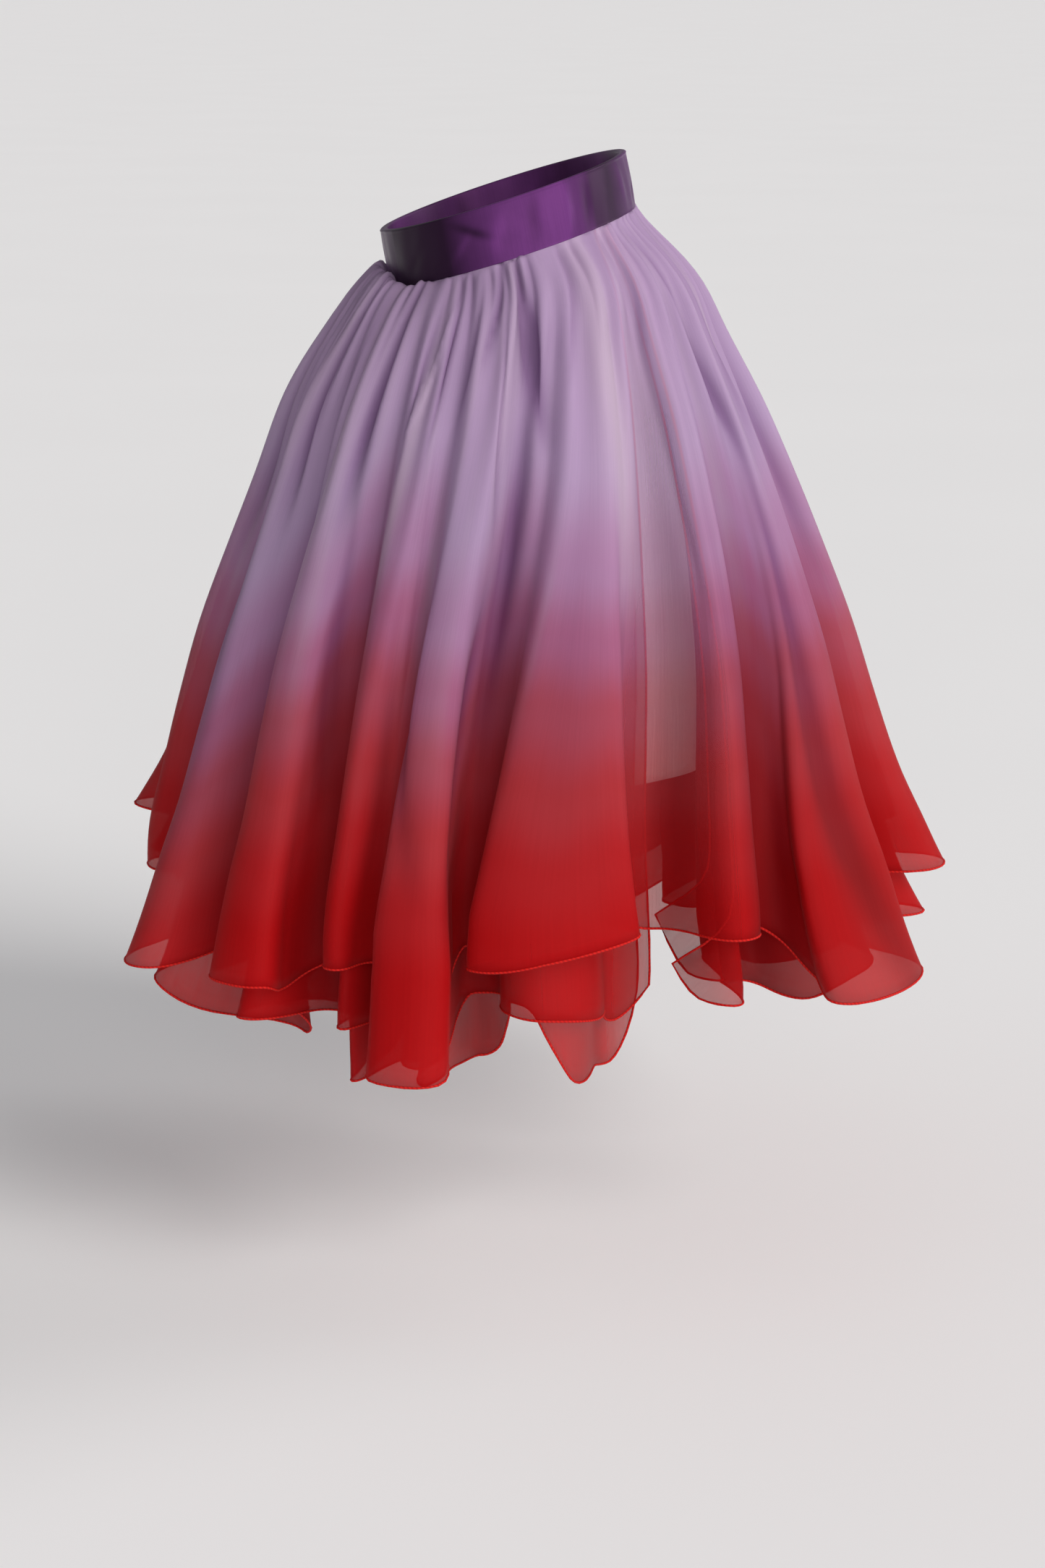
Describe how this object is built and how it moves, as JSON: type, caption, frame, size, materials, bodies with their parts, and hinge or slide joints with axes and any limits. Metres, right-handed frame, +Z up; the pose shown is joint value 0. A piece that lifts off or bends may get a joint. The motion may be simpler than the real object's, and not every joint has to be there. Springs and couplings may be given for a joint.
{
  "type": "organza skirt",
  "caption": "Short full skirt of gathered organza in layers over a lining, on a folded satin waistband, shown filled out as it is worn, with a red to lilac shade.",
  "frame": {"origin": "centre of the waistband's ring, where the wearer's waist holds the skirt", "axes": "+Z up, -Y towards the front of the garment, -X towards the wearer's right side"},
  "size_m": [0.6033, 0.598, 0.6122],
  "materials": {
    "satin": "dark purple satin with a soft shine",
    "organza": "sheer organza that shades from lilac at the waist to red at the hem",
    "lining": "opaque lilac lining with a soft sheen"
  },
  "bodies": {
    "root": {"waistband": "satin", "outer_organza": "organza", "middle_organza": "organza", "inner_organza": "organza", "lining": "lining"}
  },
  "joints": []
}
